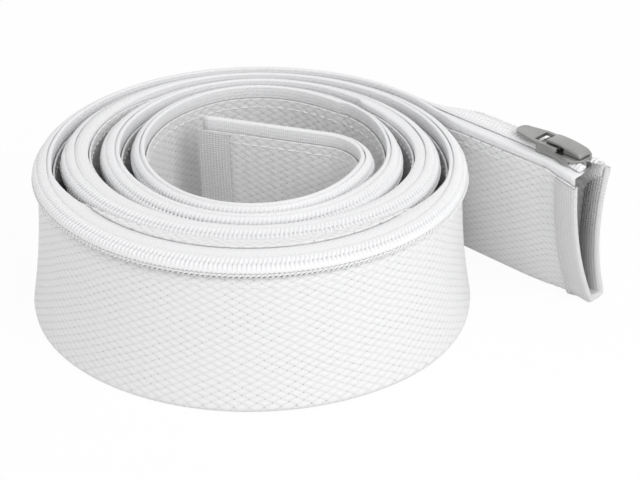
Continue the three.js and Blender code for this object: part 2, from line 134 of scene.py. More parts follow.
POST_HALF = 1.3
COIL_MEET = 0.15
MOUTH_BAND = 9.2
END_BAND = 11.0
BAND_ROLL = 1.1
BAND_INSIDE = 7.0
BINDING_LIFT = SEAT_GAP + BINDING_THICK
SLIDER_CENTRE = 77.2

# How finely the cloth is drawn
TURN_STEPS = 96
TAIL_STEP = 1.6
HOOK_STEPS = 22
CHORD_STEP = 2.0
WALL_UNEVENNESS = 0.12

# The cord in a half coil, and the thread bends, as points across and up, in millimetres
CORD_OUTLINE = ((0.08, 0.0), (0.1, 1.05), (0.8, 1.3), (2.1, 1.2), (2.8, 0.7), (3.0, 0.0))
TOOTH_BEND = ((-0.25, -0.5, 0.55), (0.0, 0.9, 2.5), (0.3, 2.75, 0.15))
TICK_BEND = ((-0.5, -0.55, -0.1), (0, 0, 0.5), (0.5, 0.6, -0.1))
TICK_SPACING = 1.8
TICK_RADIUS = 0.27


def smooth_step(x, low, high):
    t = min(max((x - low) / (high - low), 0.0), 1.0)
    return t * t * (3 - 2 * t)


def lerp(a, b, t):
    return a + (b - a) * t


# The track of the chain's middle, seen from above


def turn_size(name, turn):
    sizes = TURNS[name]
    value = sizes[0]
    for k in range(1, TURN_COUNT):
        change = k - 1 + TURN_CHANGE
        share = smooth_step(turn, change - TURN_CHANGE_HALF, change + TURN_CHANGE_HALF)
        value += (sizes[k] - sizes[k - 1]) * share
    return value


def turned(vector, angle):
    c, s = math.cos(angle), math.sin(angle)
    return np.array((vector[0] * c - vector[1] * s, vector[0] * s + vector[1] * c))


@functools.lru_cache(maxsize=None)
def roll_place(turn):
    angle = ROLL_TURN + turn * 2 * math.pi
    swell = START_SWELL * (1 - smooth_step(turn, 0, START_SWELL_TURNS))
    across = turn_size("shift_across", turn) + (turn_size("across", turn) + swell) * math.cos(angle)
    along = turn_size("shift_along", turn) + (turn_size("along", turn) + swell) * math.sin(angle)
    return tuple(turned((across, along), ROLL_TURN))


def roll_outward(turn):
    if turn == 0:
        return np.array((0.0, 1.0))
    ahead = np.subtract(roll_place(turn + 0.001), roll_place(turn - 0.001))
    return np.array((ahead[1], -ahead[0])) / np.hypot(*ahead)


@functools.lru_cache(maxsize=None)
def room_inside(turn):
    if turn >= TURN_COUNT - 1:
        return INNER_ROOM
    here = roll_place(turn)
    return min(math.dist(here, roll_place(turn + 0.9 + 0.005 * k)) for k in range(41))


@functools.lru_cache(maxsize=None)
def tilt_cosine(turn):
    outside = room_inside(turn - 1) if turn >= 1 else math.inf
    room = min(room_inside(turn), outside)
    cosine = (room - TIGHT_FOLD - LAYER_OUT - COIL_TOP) / (2 * CHAIN_HALF)
    return min(max(cosine, STEEPEST_TILT), GENTLEST_TILT)


def inner_reach(turn, cosine):
    least = CHAIN_HALF * cosine + TIGHT_FOLD
    if turn >= TURN_COUNT - 1:
        return CHAIN_HALF * cosine + INNER_FOLD
    side = math.cos(ROLL_TURN + turn * 2 * math.pi)
    next_cosine = tilt_cosine(turn + 1)
    reach = CHAIN_HALF * next_cosine + COIL_TOP * math.sqrt(1 - next_cosine**2)
    free = room_inside(turn) - reach - LAYER_OUT - SIDE_CLEARANCE * side**6
    return min(max(free, least), max(least, WIDE_ROOM))


def roll_station(turn):
    cosine = tilt_cosine(turn)
    inner = inner_reach(turn, cosine)
    lip = CHAIN_HALF * cosine
    return SimpleNamespace(
        place=np.array(roll_place(turn)),
        outward=roll_outward(turn),
        cosine=cosine,
        chain_reach=CHAIN_HALF,
        inner=inner,
        neck=max(lip - LIP_OVERHANG, TIGHT_FOLD - inner),
        foot_outer=BASE_FLARE,
        foot_inner=BASE_FLARE - FOOT_WIDTH,
        sag=0.0,
        open=0.0,
        lift=0.0,
    )


def tail_station(x):
    start = roll_station(0)
    straight = smooth_step(x, *TAIL_STRAIGHTENS)
    widen = smooth_step(x, *TAIL_WIDENS)
    spread = smooth_step(x, TAIL - MOUTH_SPREAD, TAIL)
    band_start = TAIL - MOUTH_BAND
    first_open = smooth_step(x, band_start - 5, band_start) * (POST_HALF + SEAT_GAP - COIL_MEET)
    last_open = min(max((x - band_start) / MOUTH_BAND, 0), 1)
    cosine = math.cos(math.acos(start.cosine) * (1 - straight))
    outer = lerp(CHAIN_HALF, TAIL_CORNER, widen) + MOUTH_FAR * spread
    inner = max(lerp(start.inner, TAIL_CORNER, widen), CHAIN_HALF * cosine + TIGHT_FOLD)
    foot = lerp(BASE_FLARE, TAIL_FOOT, widen)
    return SimpleNamespace(
        place=start.place + np.array((x, 0.0)),
        outward=np.array((0.0, 1.0)),
        cosine=cosine,
        chain_reach=outer,
        inner=inner + MOUTH_NEAR * spread,
        neck=lerp(start.neck, outer * cosine, widen),
        foot_outer=foot + MOUTH_FOOT_FAR * spread,
        foot_inner=foot - FOOT_WIDTH + MOUTH_FOOT_NEAR * spread,
        sag=MOUTH_SAG * spread,
        open=first_open + last_open * (CHAIN_SPREAD - POST_HALF - SEAT_GAP + COIL_MEET),
        lift=BINDING_LIFT * smooth_step(x, TAIL - LIFT_STRETCH, band_start),
    )


def hook_station(angle, along):
    out = roll_outward(HOOK_START)
    outward = turned(out, angle)
    ahead = np.array((-outward[1], outward[0]))
    centre = np.array(roll_place(HOOK_START)) - out * HOOK_RADIUS
    station = roll_station(HOOK_START)
    station.place = centre + outward * HOOK_RADIUS + ahead * along
    station.outward = outward
    station.lift = BINDING_LIFT * smooth_step(along, CHORD - LIFT_STRETCH, CHORD - END_BAND)
    return station


def end_station(from_end):
    return hook_station(HOOK_ANGLE, CHORD - from_end)


def mouth_station(from_end):
    return tail_station(TAIL - from_end)


def all_stations(inset):
    """Stations from the mouth to the inner end, each with its length along the track."""
    tail = np.arange(TAIL - inset, 0, -TAIL_STEP)
    turns = np.arange(0, HOOK_START, 1 / TURN_STEPS)
    hooks = np.linspace(0, HOOK_ANGLE, HOOK_STEPS)
    chord = np.append(np.arange(CHORD_STEP, CHORD - inset - 1, CHORD_STEP), CHORD - inset)
    stations = [tail_station(float(x)) for x in tail]
    stations += [roll_station(float(t)) for t in turns]
    stations += [hook_station(float(a), 0.0) for a in hooks]
    stations += [hook_station(HOOK_ANGLE, float(d)) for d in chord]
    run = 0.0
    for i, station in enumerate(stations):
        if i:
            run += float(np.hypot(*(station.place - stations[i - 1].place)))
        station.run = run
    return stations


# The section of the sleeve, as the line of the tapes: x outwards from the chain's middle, y up


def section_line(station):
    sine = math.sqrt(max(1 - station.cosine**2, 0))
    middle = TOP - CHAIN_HALF * sine
    along = lambda reach: np.array((reach * station.cosine, middle - reach * sine))
    foot = FABRIC_OUT + station.lift
    lip = along(station.chain_reach)
    neck = np.array((station.neck, lip[1] - LIP_DROP))
    chain_edge = along(-CHAIN_HALF)
    shoulder_drop = SHOULDER_SLOPE * max(0, station.inner - CHAIN_HALF)
    shoulder = np.array((-station.inner, chain_edge[1] - shoulder_drop))
    points = [along(station.open)]
    marks = {}

    def line_to(target):
        points.append(np.array(target))

    def curve_to(control, target, steps=8):
        start = points[-1]
        for k in range(1, steps + 1):
            t = k / steps
            bend = 2 * t * (1 - t) * np.array(control)
            points.append((1 - t) ** 2 * start + bend + t * t * np.array(target))

    def round_to(corner, before, after, radius):
        back = before - corner
        ahead = after - corner
        start = corner + back / np.hypot(*back) * min(radius, np.hypot(*back) / 2)
        end = corner + ahead / np.hypot(*ahead) * min(radius, np.hypot(*ahead) / 2)
        line_to(start)
        curve_to(corner, end, 4)

    def mark(name):
        marks[name] = len(points) - 1

    foot_outer = np.array((station.foot_outer, foot))
    foot_inner = np.array((station.foot_inner, foot))
    outer_top = foot_outer + (0, FOOT_ROUND)
    inner_top = foot_inner + (0, FOOT_ROUND)
    round_to(lip, points[0], neck, 0.4)
    mark("lip")
    line_to(neck)
    mark("neck")
    curve_to((neck[0] - station.sag, TOP / 2), outer_top, 24)
    round_to(foot_outer, outer_top, foot_inner, FOOT_ROUND)
    mark("bottom")
    round_to(foot_inner, foot_outer, inner_top, FOOT_ROUND)
    curve_to((shoulder[0], TOP / 2), shoulder - (0, 0.6), 24)
    curve_to(shoulder, shoulder + (0.3, 0), 4)
    mark("shoulder")
    line_to(chain_edge)
    mark("chain_edge")
    line_to(along(-station.open))
    line = np.array(points)
    lengths = np.concatenate(([0], np.cumsum(np.hypot(*np.diff(line, axis=0).T))))
    arcs = {name: float(lengths[i]) for name, i in marks.items()}
    arcs["end"] = float(lengths[-1])
    return SimpleNamespace(line=line, lengths=lengths, arcs=arcs)


def points_at(section, arcs):
    arcs = np.clip(arcs, 0, section.arcs["end"])
    return np.column_stack([np.interp(arcs, section.lengths, section.line[:, k]) for k in (0, 1)])


def left_normals(points):
    step = np.diff(points, axis=0)
    length = np.hypot(*step.T)[:, None]
    left = np.column_stack((-step[:, 1], step[:, 0])) / np.maximum(length, 1e-9)
    before = np.vstack((left[:1], left))
    after = np.vstack((left, left[-1:]))
    middle = before + after
    middle /= np.maximum(np.hypot(*middle.T)[:, None], 1e-9)
    stretch = 1 / np.maximum((middle * before).sum(axis=1), 0.55)
    return middle, stretch


def offset_line(points, distance):
    middle, stretch = left_normals(points)
    return points + middle * (np.asarray(distance) * stretch)[:, None]


def in_space(station, points):
    points = np.atleast_2d(points)
    flat = station.place + np.outer(points[:, 0], station.outward)
    return np.column_stack((flat, points[:, 1]))


def frame_shift():
    """How far the solids' own origin lies from the track's: the slider's box says it."""
    low, high = (np.array(corner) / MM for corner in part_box("slider_body"))
    middle = (low + high) / 2
    track = tail_station(SLIDER_CENTRE).place
    return np.array((middle[0] - track[0], middle[1] - track[1], low[2] - (TOP - 2)))


SHIFT = frame_shift()


def fabric_arcs(section, edge):
    """Distances along the section line at which the fabric is drawn, from its outer to its inner edge."""
    arcs = section.arcs
    bottom = arcs["bottom"]
    first = arcs["neck"] + 0.2
    last = max(arcs["end"] - edge, bottom + 20)
    shoulder = min(arcs["shoulder"], last - 1.2)
    return np.concatenate(
        (
            np.linspace(first, bottom - 3, 15)[:-1],
            np.linspace(bottom - 3, bottom + 4, 13)[:-1],
            np.linspace(bottom + 4, shoulder - 1.2, 13)[:-1],
            np.linspace(shoulder - 1.2, shoulder + 0.3, 6)[:-1],
            np.linspace(shoulder + 0.3, last, 6),
        )
    )


# Meshes


def make_object(name, vertices, faces, material, uv=None):
    mesh = bpy.data.meshes.new(name)
    mesh.from_pydata((np.asarray(vertices) + SHIFT) * MM, [], faces)
    mesh.materials.append(material)
    if uv is not None:
        layer = mesh.uv_layers.new(name="cloth")
        corners = np.empty(len(mesh.loops), dtype=np.int32)
        mesh.loops.foreach_get("vertex_index", corners)
        layer.data.foreach_set("uv", np.asarray(uv, dtype=np.float32)[corners].ravel())
    mesh.polygons.foreach_set("use_smooth", np.ones(len(mesh.polygons), dtype=bool))
    mesh.update()
    built = bpy.data.objects.new(name, mesh)
    bpy.context.scene.collection.objects.link(built)
    face_outwards(built)
    return built


def face_outwards(built):
    work = bmesh.new()
    work.from_mesh(built.data)
    bmesh.ops.recalc_face_normals(work, faces=work.faces)
    work.to_mesh(built.data)
    work.free()


def side_faces(ring_count, count):
    """The four-sided faces between rings of count points each."""
    return [
        (i * count + j, i * count + (j + 1) % count, (i + 1) * count + (j + 1) % count, (i + 1) * count + j)
        for i in range(ring_count - 1)
        for j in range(count)
    ]


def loft_strip(name, rings, uv_rings, material):
    """A closed strip through rings whose first half is one skin and whose second half is the other."""
    count = len(rings[0])
    faces = side_faces(len(rings), count)
    last = (len(rings) - 1) * count
    for j in range(count // 2 - 1):
        back = count - 1 - j
        faces.append((j, back, back - 1, j + 1))
        faces.append((last + j, last + j + 1, last + back - 1, last + back))
    return make_object(name, np.vstack(rings), faces, material, np.vstack(uv_rings))


def cloth_strip(name, stations, arcs_of, near, far, material, wave=None):
    rings = []
    maps = []
    for station in stations:
        section = section_line(station)
        arcs = arcs_of(section)
        points = points_at(section, arcs)
        push = np.zeros(len(arcs)) if wave is None else wave(station.run, arcs, section)
        ring = np.vstack((offset_line(points, far + push), offset_line(points, near + push)[::-1]))
        rings.append(in_space(station, ring))
        around = np.concatenate((arcs, arcs[::-1])) - section.arcs["bottom"]
        maps.append(np.column_stack((np.full(len(around), station.run), around)))
    return loft_strip(name, rings, maps, material)


def wall_wave(run, arcs, section):
    """Slight unevenness of the cloth wall, none at its edges and at the foot."""
    span = section.arcs["end"]
    share = np.clip(arcs / span, 0, 1)
    fade = np.sin(np.pi * share) ** 2 * np.abs(np.cos(np.pi * share)) ** 0.6
    slow = np.sin(run / 31.0 + 5 * share) + 0.6 * np.sin(run / 12.7 - 9 * share + 1.3)
    return WALL_UNEVENNESS * fade * slow


# Materials


class Wire:
    """A node's socket, whose sums add Math nodes."""

    def __init__(self, look, socket):
        self.look = look
        self.socket = socket

    def math(self, operation, first, second=0.0):
        return self.look.add("ShaderNodeMath", {"operation": operation}, {0: first, 1: second})

    def __add__(self, other):
        return self.math("ADD", self, other)

    __radd__ = __add__

    def __sub__(self, other):
        return self.math("SUBTRACT", self, other)

    def __rsub__(self, other):
        return self.math("SUBTRACT", other, self)

    def __mul__(self, other):
        return self.math("MULTIPLY", self, other)

    __rmul__ = __mul__

    def __truediv__(self, other):
        return self.math("DIVIDE", self, other)

    def __mod__(self, other):
        return self.math("FLOORED_MODULO", self, other)

    def floor(self):
        return self.math("FLOOR", self)

    def fraction(self):
        return self.math("FRACT", self)

    def sine(self):
        return self.math("SINE", self)

    def above(self, limit):
        return self.math("GREATER_THAN", self, limit)


class Look:
    """A material, or a world, under construction."""

    def __init__(self, name, holders=None):
        self.material = (bpy.data.materials if holders is None else holders).new(name)
        self.material.use_nodes = True
        self.tree = self.material.node_tree
        self.tree.nodes.clear()

    def add(self, kind, settings=None, inputs=None, output=0):
        node = self.tree.nodes.new(kind)
        for key, value in (settings or {}).items():
            if key == "stops":
                self.set_stops(node.color_ramp, value)
            else:
                setattr(node, key, value)
        for key, value in (inputs or {}).items():
            if isinstance(value, Wire):
                self.tree.links.new(value.socket, node.inputs[key])
            else:
                node.inputs[key].default_value = value
        return Wire(self, node.outputs[output]) if len(node.outputs) else node

    @staticmethod
    def set_stops(ramp, stops):
        while len(ramp.elements) < len(stops):
            ramp.elements.new(0.5)
        for element, (place, level) in zip(ramp.elements, stops):
            element.position = place
            element.color = (level, level, level, 1)

    def cloth_map(self):
        """Millimetres along the sleeve and round its wall."""
        uv = self.add("ShaderNodeUVMap", {"uv_map": "cloth"})
        along = self.add("ShaderNodeSeparateXYZ", inputs={0: uv}, output=0)
        around = self.add("ShaderNodeSeparateXYZ", inputs={0: uv}, output=1)
        return uv, along, around

    def noise(self, vector, scale, detail=2.0):
        return self.add("ShaderNodeTexNoise", inputs={"Vector": vector, "Scale": scale, "Detail": detail})

    def blend(self, factor, first, second):
        """Two colours mixed by a factor."""
        node = self.tree.nodes.new("ShaderNodeMix")
        node.data_type = "RGBA"
        for key, value in ((0, factor), (6, first), (7, second)):
            if isinstance(value, Wire):
                self.tree.links.new(value.socket, node.inputs[key])
            else:
                node.inputs[key].default_value = value
        return Wire(self, node.outputs[2])

    def finish(self, colour, roughness, bump=None, depth=0.0002, constants=None):
        inputs = {"Base Color": colour, "Roughness": roughness}
        if bump is not None:
            relief = {"Strength": 1.0, "Distance": depth, "Height": bump}
            inputs["Normal"] = self.add("ShaderNodeBump", inputs=relief)
        inputs.update(constants or {})
        shader = self.add("ShaderNodeBsdfPrincipled", inputs=inputs)
        self.add("ShaderNodeOutputMaterial", inputs={0: shader})
        return self.material


def crown(share):
    """From 0 at both edges of a strand to 1 in its middle."""
    return 4 * share * (1 - share)


def shaded(colour, level):
    return (colour[0] * level, colour[1] * level, colour[2] * level, 1)


def braid_material(sizes):
    look = Look("braid")
    uv, along, around = look.cloth_map()
    wander = look.noise(uv, 0.045, 1.0) * 0.5
    p = along / (sizes.cell_length / MM) + around / (sizes.cell_width / MM) + wander
    q = along / (sizes.cell_length / MM) - around / (sizes.cell_width / MM) + wander
    first = crown(p.fraction())
    second = crown(q.fraction())
    over = ((p.floor() + q.floor()) % 2).above(0.5)
    filaments = 0.06 * (over * (p * 44).sine() + (1 - over) * (q * 44).sine())
    upper = over * first * (0.5 + 0.5 * second) + (1 - over) * second * (0.5 + 0.5 * first)
    height = upper + filaments
    gap = (1 - first) * (1 - second)
    uneven = look.noise(uv, 0.11, 2.0)
    # Painted shade: the openings between the strands are darkened, down to 0.4 of the braid's colour, by an
    # amount that varies with the noise
    hole = look.add("ShaderNodeValToRGB", {"stops": ((0.5, 0.0), (0.84, 1.0))}, {0: gap})
    hole_size = look.add("ShaderNodeValToRGB", {"stops": ((0.4, 0.15), (0.6, 1.0))}, {0: uneven})
    painted_hole_shade = look.add("ShaderNodeMix", {"data_type": "FLOAT"}, {0: hole, 2: 0.0, 3: hole_size})
    # Painted shade: each strand is darker towards its edges and where it dips, following the same height as
    # its bump
    body = look.blend(upper, shaded(sizes.colour, 0.9), shaded(sizes.colour, 1.0))
    colour = look.blend(painted_hole_shade, body, shaded(sizes.colour, 0.4))
    return look.finish(colour, 0.62, height, 0.00017, {"Sheen Weight": 0.15})


def tape_material(sizes):
    look = Look("woven_tape")
    uv, along, around = look.cloth_map()
    ribs = (along * (2 * math.pi / 0.8)).sine() * 0.5
    chevrons = ((along * 2.2 + around * 3.1).sine() + (around * (2 * math.pi / 1.3)).sine()) * 0.3
    speckle = look.noise(uv, 0.9, 3.0)
    colour = look.blend(speckle, shaded(sizes.tape_colour, 0.95), shaded(sizes.tape_colour, 1.0))
    return look.finish(colour, 0.7, ribs + chevrons + speckle * 0.4, 0.00009, {"Sheen Weight": 0.1})


def coil_material(sizes):
    look = Look("nylon_coil")
    place = look.add("ShaderNodeTexCoord", output=3)
    speckle = look.noise(place, 900.0, 2.0)
    colour = look.blend(speckle, shaded(sizes.coil_colour, 0.94), shaded(sizes.coil_colour, 1.0))
    return look.finish(colour, 0.34, speckle, 0.00003)


def thread_material(sizes):
    look = Look("sewing_thread")
    place = look.add("ShaderNodeTexCoord", output=3)
    strands = look.noise(place, 2600.0, 2.0)
    colour = look.blend(strands, shaded(sizes.colour, 0.9), shaded(sizes.colour, 1.0))
    return look.finish(colour, 0.6, strands, 0.00005)


def binding_material(sizes):
    look = Look("binding_twill")
    uv, along, around = look.cloth_map()
    cords = (along * (2 * math.pi / (sizes.rib_pitch / MM))).sine()
    rows = (around * (2 * math.pi / (sizes.row_pitch / MM))).sine()
    grid = (cords * 0.5 + 0.5) * (rows * 0.5 + 0.5)
    speckle = look.noise(uv, 1.3, 2.0)
    # Painted shade: the grooves between the cords and between the rows are darker, down to 0.78 of the
    # binding's colour, following the same grid as the bump
    colour = look.blend(grid, shaded(sizes.colour, 0.78), shaded(sizes.colour, 1.0))
    return look.finish(colour, 0.7, grid + speckle * 0.25, 0.00028, {"Sheen Weight": 0.12})


def metal_material(sizes):
    look = Look("zinc_metal")
    place = look.add("ShaderNodeTexCoord", output=3)
    scratches = look.noise(place, 1100.0, 4.0)
    patches = look.noise(place, 160.0, 2.0)
    colour = look.blend(patches, shaded(sizes.colour, 0.8), shaded(sizes.colour, 1.15))
    roughness = scratches * 0.22 + 0.2
    return look.finish(colour, roughness, scratches, 0.00002, {"Metallic": 1.0})


# Repeats along a rail, by Geometry Nodes


def repeat_tree():
    """Bends a round thread over three points and sets one at each step of a rail."""
    tree = bpy.data.node_groups.new("thread_along_rail", "GeometryNodeTree")
    tree.interface.new_socket(name="Geometry", in_out="OUTPUT", socket_type="NodeSocketGeometry")
    sockets = (
        ("Rail", "Geometry"),
        ("Spacing", "Float"),
        ("Start", "Vector"),
        ("Crown", "Vector"),
        ("Finish", "Vector"),
        ("Thread radius", "Float"),
        ("Bend steps", "Int"),
        ("Sides", "Int"),
        ("Material", "Material"),
    )
    for name, kind in sockets:
        tree.interface.new_socket(name=name, in_out="INPUT", socket_type="NodeSocket" + kind)
    source = tree.nodes.new("NodeGroupInput").outputs

    def add(kind, settings=None, **inputs):
        node = tree.nodes.new("GeometryNode" + kind if not kind.startswith("Function") else kind)
        for key, value in (settings or {}).items():
            setattr(node, key, value)
        for key, value in inputs.items():
            socket = node.inputs[key.replace("_", " ")]
            if isinstance(value, bpy.types.NodeSocket):
                tree.links.new(value, socket)
            else:
                socket.default_value = value
        return node.outputs[0]

    rail = add("MeshToCurve", Mesh=source["Rail"])
    steps = add("ResampleCurve", {"mode": "LENGTH"}, Curve=rail, Length=source["Spacing"])
    up = add("InputNamedAttribute", {"data_type": "FLOAT_VECTOR"}, Name="up")
    across = add("InputNamedAttribute", {"data_type": "FLOAT_VECTOR"}, Name="across")
    axes = {"primary_axis": "Z", "secondary_axis": "Y"}
    turn = add("FunctionNodeAxesToRotation", axes, Primary_Axis=up, Secondary_Axis=across)
    bend = add(
        "CurveQuadraticBezier",
        Resolution=source["Bend steps"],
        Start=source["Start"],
        Middle=source["Crown"],
        End=source["Finish"],
    )
    circle = add("CurvePrimitiveCircle", Resolution=source["Sides"], Radius=source["Thread radius"])
    thread = add("CurveToMesh", Curve=bend, Profile_Curve=circle, Fill_Caps=True)
    set_out = add("InstanceOnPoints", Points=steps, Instance=thread, Rotation=turn)
    real = add("RealizeInstances", Geometry=set_out)
    smooth = add("SetShadeSmooth", Geometry=real)
    done = add("SetMaterial", Geometry=smooth, Material=source["Material"])
    tree.links.new(done, tree.nodes.new("NodeGroupOutput").inputs[0])
    return tree


def rail_object(name, points, across, up):
    mesh = bpy.data.meshes.new(name)
    edges = [(i, i + 1) for i in range(len(points) - 1)]
    mesh.from_pydata((np.asarray(points) + SHIFT) * MM, edges, [])
    for key, values in (("across", across), ("up", up)):
        layer = mesh.attributes.new(key, "FLOAT_VECTOR", "POINT")
        layer.data.foreach_set("vector", np.asarray(values, dtype=np.float32).ravel())
    built = bpy.data.objects.new(name, mesh)
    bpy.context.scene.collection.objects.link(built)
    return built


def thread_along(name, rail, spacing, bend, radius, steps, sides, material):
    """rail is (points, across, up), and bend three points, all in millimetres."""
    tree = bpy.data.node_groups.get("thread_along_rail") or repeat_tree()
    built = rail_object(name, *rail)
    modifier = built.modifiers.new("threads", "NODES")
    modifier.node_group = tree
    values = {
        "Spacing": spacing * MM,
        "Start": tuple(c * MM for c in bend[0]),
        "Crown": tuple(c * MM for c in bend[1]),
        "Finish": tuple(c * MM for c in bend[2]),
        "Thread radius": radius * MM,
        "Bend steps": steps,
        "Sides": sides,
        "Material": material,
    }
    for item in tree.interface.items_tree:
        if item.item_type == "SOCKET" and item.in_out == "INPUT" and item.name in values:
            modifier[item.identifier] = values[item.name]
    bpy.context.view_layer.update()
    seen = built.evaluated_get(bpy.context.evaluated_depsgraph_get())
    mesh = bpy.data.meshes.new_from_object(seen)
    built.modifiers.remove(modifier)
    old = built.data
    built.data = mesh
    bpy.data.meshes.remove(old)
    if not len(mesh.polygons):
        raise RuntimeError(f"{name} came out empty")
    return built


def chain_axes(station, side):
    """The chain's height, and the directions over a half coil and away from its tape."""
    sine = math.sqrt(max(1 - station.cosine**2, 0))
    ahead = np.array((station.cosine, -sine)) * side
    return TOP - CHAIN_HALF * sine, ahead, np.array((sine, station.cosine))


def chain_rail(stations, side, lift):
    """The line of one half coil's foot on its tape."""
    points, across, up = [], [], []
    for station in stations:
        middle, ahead, normal = chain_axes(station, side)
        place = np.array((0.0, middle)) + ahead * station.open + normal * lift
        points.append(in_space(station, place)[0])
        across.append((*(ahead[0] * station.outward), ahead[1]))
        up.append((*(normal[0] * station.outward), normal[1]))
    return points, across, up


def wall_rail(stations, arc_of, height):
    """A line on the cloth at one distance along the section line of each station."""
    points, across, up = [], [], []
    for station in stations:
        section = section_line(station)
        arc = arc_of(section)
        near = points_at(section, np.array((arc - 0.8, arc, arc + 0.8)))
        middle, _ = left_normals(near)
        ahead = near[2] - near[0]
        ahead /= np.hypot(*ahead)
        place = near[1] + middle[1] * height
        points.append(in_space(station, place)[0])
        across.append((*(ahead[0] * station.outward), ahead[1]))
        up.append((*(middle[1][0] * station.outward), middle[1][1]))
    return points, across, up


def trimmed(rail, distance):
    """The rail without its first stretch, so that its repeats fall between another's."""
    points = np.array(rail[0])
    start = points[0] + (points[1] - points[0]) * distance / np.linalg.norm(points[1] - points[0])
    return [start, *rail[0][1:]], rail[1], rail[2]


# What a user may change


class FabricSizes(PropertyGroup):
    cell_length: FloatProperty(
        name="Cell length",
        description="Length of one diamond of the braid, along the sleeve",
        default=0.0048,
        subtype="DISTANCE",
        unit="LENGTH",
    )
    cell_width: FloatProperty(
        name="Cell width",
        description="Width of one diamond of the braid, round the sleeve",
        default=0.0028,
        subtype="DISTANCE",
        unit="LENGTH",
    )
    inner_edge: FloatProperty(
        name="Inner edge",
        description="From the middle of the zipper to the fabric's folded edge",
        default=0.0088,
        subtype="DISTANCE",
        unit="LENGTH",
    )
    colour: FloatVectorProperty(
        name="Colour",
        description="Colour of the braid",
        size=3,
        default=(0.855, 0.855, 0.86),
        subtype="COLOR",
    )


class ZipperSizes(PropertyGroup):
    pitch: FloatProperty(
        name="Pitch",
        description="From one tooth of a coil to the next",
        default=0.0015,
        subtype="DISTANCE",
        unit="LENGTH",
    )
    wire_radius: FloatProperty(
        name="Wire radius",
        description="Half the thickness of the coil's wire",
        default=0.00055,
        subtype="DISTANCE",
        unit="LENGTH",
    )
    coil_colour: FloatVectorProperty(
        name="Coil colour",
        description="Colour of the coils",
        size=3,
        default=(0.88, 0.88, 0.89),
        subtype="COLOR",
    )
    tape_colour: FloatVectorProperty(
        name="Tape colour",
        description="Colour of the tapes",
        size=3,
        default=(0.9, 0.9, 0.91),
        subtype="COLOR",
    )


class StitchSizes(PropertyGroup):
    length: FloatProperty(
        name="Stitch", description="Length of one stitch", default=0.0025, subtype="DISTANCE", unit="LENGTH"
    )
    spacing: FloatProperty(
        name="Spacing", description="From stitch to stitch", default=0.0034, subtype="DISTANCE", unit="LENGTH"
    )
    radius: FloatProperty(
        name="Thread radius", description="Half the thread's thickness", default=0.00022, unit="LENGTH"
    )
    colour: FloatVectorProperty(
        name="Colour",
        description="Colour of the thread",
        size=3,
        default=(0.9, 0.9, 0.9),
        subtype="COLOR",
    )


class BindingSizes(PropertyGroup):
    rib_pitch: FloatProperty(
        name="Rib pitch", description="From cord to cord across the binding", default=0.0011, unit="LENGTH"
    )
    row_pitch: FloatProperty(
        name="Row pitch", description="From row to row along the binding", default=0.0009, unit="LENGTH"
    )
    colour: FloatVectorProperty(
        name="Colour",
        description="Colour of the bindings",
        size=3,
        default=(0.88, 0.88, 0.88),
        subtype="COLOR",
    )


class MetalSizes(PropertyGroup):
    edge: FloatProperty(
        name="Edge radius", description="Rounding of the metal's edges", default=0.0002, unit="LENGTH"
    )
    colour: FloatVectorProperty(
        name="Colour",
        description="Colour of the slider and pull",
        size=3,
        default=(0.38, 0.38, 0.37),
        subtype="COLOR",
    )


class StageSizes(PropertyGroup):
    lamp: FloatProperty(name="Lamp", description="Power of the main lamp", default=1.0, unit="POWER")
    sky: FloatProperty(name="Sky", description="Strength of the light from all round", default=0.77)


GROUPS = {
    "sleeve_fabric_sizes": FabricSizes,
    "sleeve_zipper_sizes": ZipperSizes,
    "sleeve_stitch_sizes": StitchSizes,
    "sleeve_binding_sizes": BindingSizes,
    "sleeve_metal_sizes": MetalSizes,
    "sleeve_stage_sizes": StageSizes,
}


# The pieces


def flat_size(stations, arcs_of):
    """The cloth's cut: its mean width and its length, in metres."""
    widths = []
    for station in stations[::20]:
        arcs = arcs_of(section_line(station))
        widths.append(arcs[-1] - arcs[0])
    return float(np.mean(widths)) * MM, stations[-1].run * MM


def dress(built, body, slot, *nodes):
    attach(built, body)
    if nodes:
        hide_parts(*nodes)


class SLEEVE_OT_fabric(Operator):
    """Build the braided wall of the sleeve"""

    bl_idname = "sleeve.fabric"
    bl_label = "Braided fabric"

    def execute(self, context):
        sizes = context.scene.sleeve_fabric_sizes
        stations = all_stations(0.0)
        arcs_of = lambda section: fabric_arcs(section, sizes.inner_edge / MM)
        material = braid_material(sizes)
        wall = cloth_strip("braided_fabric", stations, arcs_of, FABRIC_IN, FABRIC_OUT, material, wall_wave)
        dress(wall, "sleeve", "braid", "sleeve_fabric")
        flat_size(stations, arcs_of)
        return {"FINISHED"}


class SLEEVE_OT_tapes(Operator):
    """Build the two woven tapes of the zipper"""

    bl_idname = "sleeve.tapes"
    bl_label = "Zipper tapes"

    def execute(self, context):
        material = tape_material(context.scene.sleeve_zipper_sizes)
        stations = all_stations(0.6)

        def outer(section):
            arcs = section.arcs
            return np.array((TAPE_EDGE, 2.6, arcs["lip"] - 0.5, arcs["lip"], arcs["neck"], 9.0, TAPE_REACH))

        def inner(section):
            arcs = section.arcs
            reach = max(TAPE_REACH, arcs["end"] - arcs["shoulder"] + 1.5)
            end = arcs["end"]
            shoulder = arcs["shoulder"]
            edge = arcs["chain_edge"]
            stops = (end - reach, shoulder - 0.7, shoulder - 0.3, shoulder, lerp(shoulder, edge, 0.5), edge)
            return np.array((*stops, end - TAPE_EDGE))

        half = TAPE_THICK / 2
        for name, arcs_of, node in (
            ("woven_tape_outer", outer, "zipper_tape_outer"),
            ("woven_tape_inner", inner, "zipper_tape_inner"),
        ):
            tape = cloth_strip(name, stations, arcs_of, -half, half, material)
            dress(tape, "sleeve", "tape", node)
            flat_size(stations, arcs_of)
        return {"FINISHED"}


